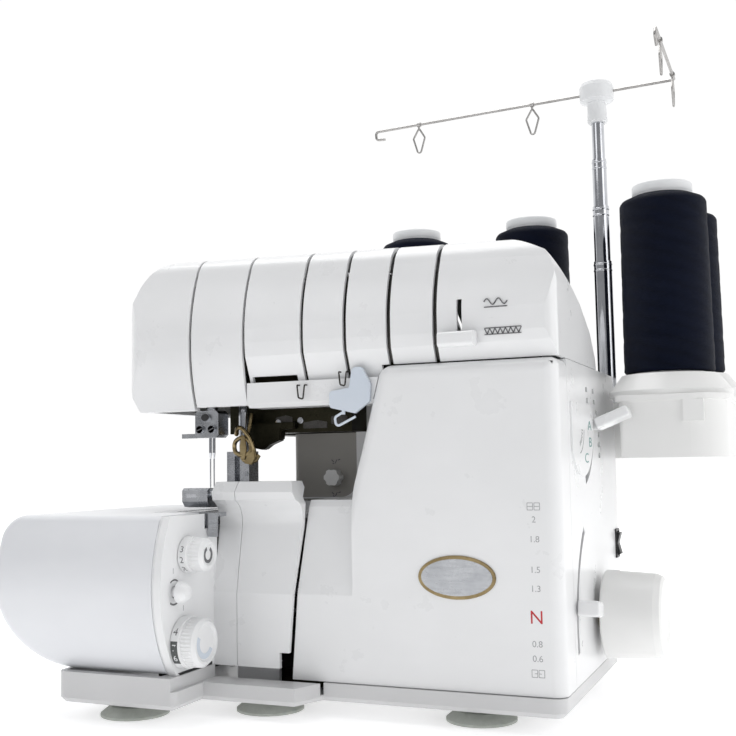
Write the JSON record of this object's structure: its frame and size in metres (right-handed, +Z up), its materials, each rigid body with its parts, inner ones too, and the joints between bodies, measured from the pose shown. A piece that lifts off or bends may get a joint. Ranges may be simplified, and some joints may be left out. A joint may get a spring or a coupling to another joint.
{
  "type": "serger overlock machine",
  "caption": "Household serger with slotted thread head, looper door, side cloth cover, handwheel, cone stand and telescopic thread guide mast.",
  "frame": {"origin": "bottom centre of the overall box, on the table under the feet", "axes": "+X to the machine's right, the handwheel side; +Y from the operator towards the cone stand at the back; +Z up"},
  "size_m": [0.432, 0.3496, 0.444],
  "materials": {
    "white_plastic": "gloss moulded white",
    "grey_plastic": "satin grey",
    "pale_plastic": "gloss pale blue-white",
    "black_plastic": "satin black",
    "foot_rubber": "matte grey-green",
    "belt_rubber": "matte black",
    "cast_metal": "dark oiled casting",
    "bright_steel": "polished",
    "wire_steel": "drawn wire",
    "dark_steel": "blackened guides",
    "foot_steel": "satin grey steel",
    "motor_metal": "dark grey enamel",
    "pulley_metal": "turned",
    "bush_bronze": "sintered bronze",
    "pin_steel": "satin",
    "thread": "wound navy thread on a white plastic cone"
  },
  "bodies": {
    "machine": {"front_cover": "white_plastic", "tower_shell": "white_plastic", "face_cover": "white_plastic", "needle_cover": "white_plastic", "arm_covers": "white_plastic", "lever_cover": "white_plastic", "arm_trim": "white_plastic", "bed_cover": "white_plastic", "dial_panel": "white_plastic", "base_plate": "white_plastic", "spool_tray": "white_plastic", "cone_holders": "white_plastic", "pillar_cover": "grey_plastic", "thread_arm": "pale_plastic", "power_inlet": "black_plastic", "rubber_feet": "foot_rubber", "drive_belt": "belt_rubber", "machine_frame": "cast_metal", "mast_tube_1": "bright_steel", "thread_guides": "dark_steel", "looper_bracket": "dark_steel", "side_frame": "dark_steel", "needle_plate": "foot_steel", "motor": "motor_metal", "shaft_bushes": "bush_bronze", "spool_pins": "pin_steel", "thread_cone_1": "thread", "thread_cone_2": "thread", "thread_cone_3": "thread", "thread_cone_4": "thread"},
    "side_door": {"side_cover": "white_plastic"},
    "length_dial": {"stitch_length_dial": "white_plastic"},
    "width_dial": {"stitch_width_dial": "white_plastic"},
    "button": {"threading_button": "white_plastic"},
    "feed": {"feed_dogs": "foot_steel"},
    "door_rod": {"looper_rod": "bright_steel"},
    "looper_door": {"looper_cover": "white_plastic"},
    "drive_shaft": {"main_shaft": "bright_steel", "main_pulley": "pulley_metal", "handwheel": "white_plastic"},
    "motor_rotor": {"motor_pulley": "pulley_metal"},
    "needle_carrier": {"needle_bar": "bright_steel", "needle_clamp": "foot_steel", "needles": "bright_steel"},
    "presser": {"presser_bar": "bright_steel", "presser_foot": "foot_steel"},
    "lifter": {"presser_lifter": "foot_steel"},
    "pressure_adjuster": {"pressure_knob": "white_plastic"},
    "looper_high": {"upper_looper": "foot_steel"},
    "looper_low": {"lower_looper": "foot_steel"},
    "knife": {"upper_knife": "foot_steel"},
    "differential": {"differential_lever": "white_plastic"},
    "selector": {"selector_lever": "white_plastic"},
    "wave": {"wave_lever": "white_plastic"},
    "rocker": {"power_rocker": "black_plastic"},
    "mast_2": {"mast_tube_2": "bright_steel"},
    "mast_3": {"mast_tube_3": "bright_steel"},
    "mast_4": {"mast_tube_4": "bright_steel"},
    "guide": {"guide_head": "white_plastic", "guide_bar": "wire_steel"}
  },
  "joints": [
    {"name": "side_cover_swing", "type": "hinge", "parent": "machine", "child": "side_door", "pos_m": [-0.163, 0.00025, 0.1], "axis": [0, 0, -1], "range_deg": [0, 90]},
    {"name": "length_dial_turn", "type": "hinge", "parent": "machine", "child": "length_dial", "pos_m": [-0.091, -0.14575, 0.098], "axis": [1, 0, 0], "range_deg": [0, 300]},
    {"name": "width_dial_turn", "type": "hinge", "parent": "machine", "child": "width_dial", "pos_m": [-0.091, -0.14925, 0.0465], "axis": [1, 0, 0], "range_deg": [0, 300]},
    {"name": "button_press", "type": "slide", "parent": "machine", "child": "button", "axis": [-1, 0, 0], "range_m": [0, 0.003], "stiffness_N_per_m": 400},
    {"name": "feed_travel", "type": "slide", "parent": "machine", "child": "feed", "axis": [0, 1, 0], "range_m": [-0.0025, 0.0025]},
    {"name": "door_slide", "type": "slide", "parent": "machine", "child": "door_rod", "axis": [1, 0, 0], "range_m": [0, 0.005]},
    {"name": "door_tilt", "type": "hinge", "parent": "door_rod", "child": "looper_door", "pos_m": [-0.059, -0.10725, 0.033], "axis": [1, 0, 0], "range_deg": [0, 75]},
    {"name": "handwheel_turn", "type": "hinge", "parent": "machine", "child": "drive_shaft", "pos_m": [0.131, -0.00275, 0.052], "axis": [1, 0, 0], "continuous": true},
    {"name": "motor_spin", "type": "hinge", "parent": "machine", "child": "motor_rotor", "pos_m": [0.131, 0.04225, 0.118], "axis": [1, 0, 0], "continuous": true},
    {"name": "needle_stroke", "type": "slide", "parent": "machine", "child": "needle_carrier", "axis": [0, 0, -1], "range_m": [0, 0.027]},
    {"name": "lifter_turn", "type": "hinge", "parent": "machine", "child": "lifter", "pos_m": [-0.087, 0.00425, 0.196], "axis": [1, 0, 0], "range_deg": [0, 20]},
    {"name": "foot_lift", "type": "slide", "parent": "machine", "child": "presser", "axis": [0, 0, 1], "range_m": [0, 0.006]},
    {"name": "pressure_turn", "type": "hinge", "parent": "machine", "child": "pressure_adjuster", "pos_m": [-0.043, -0.03275, 0.142], "axis": [0, 1, 0], "range_deg": [-150, 150]},
    {"name": "upper_looper_swing", "type": "hinge", "parent": "machine", "child": "looper_high", "pos_m": [-0.047, -0.07975, 0.062], "axis": [0, 1, 0], "range_deg": [0, 18]},
    {"name": "lower_looper_swing", "type": "hinge", "parent": "machine", "child": "looper_low", "pos_m": [-0.059, -0.09075, 0.046], "axis": [0, 1, 0], "range_deg": [0, 12]},
    {"name": "knife_rock", "type": "hinge", "parent": "machine", "child": "knife", "pos_m": [-0.08, -0.09375, 0.096], "axis": [-1, 0, 0], "range_deg": [0, 6]},
    {"name": "differential_turn", "type": "hinge", "parent": "machine", "child": "differential", "pos_m": [0.131, -0.00275, 0.052], "axis": [1, 0, 0], "range_deg": [-37, 16]},
    {"name": "selector_turn", "type": "hinge", "parent": "machine", "child": "selector", "pos_m": [0.131, -0.04775, 0.178], "axis": [1, 0, 0], "range_deg": [-64, 0]},
    {"name": "wave_slide", "type": "slide", "parent": "machine", "child": "wave", "axis": [0, 0, 1], "range_m": [0, 0.02]},
    {"name": "rocker_tip", "type": "hinge", "parent": "machine", "child": "rocker", "pos_m": [0.128, 0.06625, 0.092], "axis": [0, 1, 0], "range_deg": [-8, 8]},
    {"name": "mast_slide_2", "type": "slide", "parent": "machine", "child": "mast_2", "axis": [0, 0, -1], "range_m": [0, 0.024]},
    {"name": "mast_slide_3", "type": "slide", "parent": "mast_2", "child": "mast_3", "axis": [0, 0, -1], "range_m": [0, 0.02]},
    {"name": "mast_slide_4", "type": "slide", "parent": "mast_3", "child": "mast_4", "axis": [0, 0, -1], "range_m": [0, 0.016]},
    {"name": "guide_swivel", "type": "hinge", "parent": "mast_4", "child": "guide", "pos_m": [0.122, 0.10425, 0.435], "axis": [0, 0, 1], "range_deg": [-90, 90]}
  ],
  "couplings": [
    {"joint": "motor_spin", "follows": "handwheel_turn", "ratio": 2.4925},
    {"joint": "foot_lift", "follows": "lifter_turn", "m_per_rad": 0.017189}
  ]
}
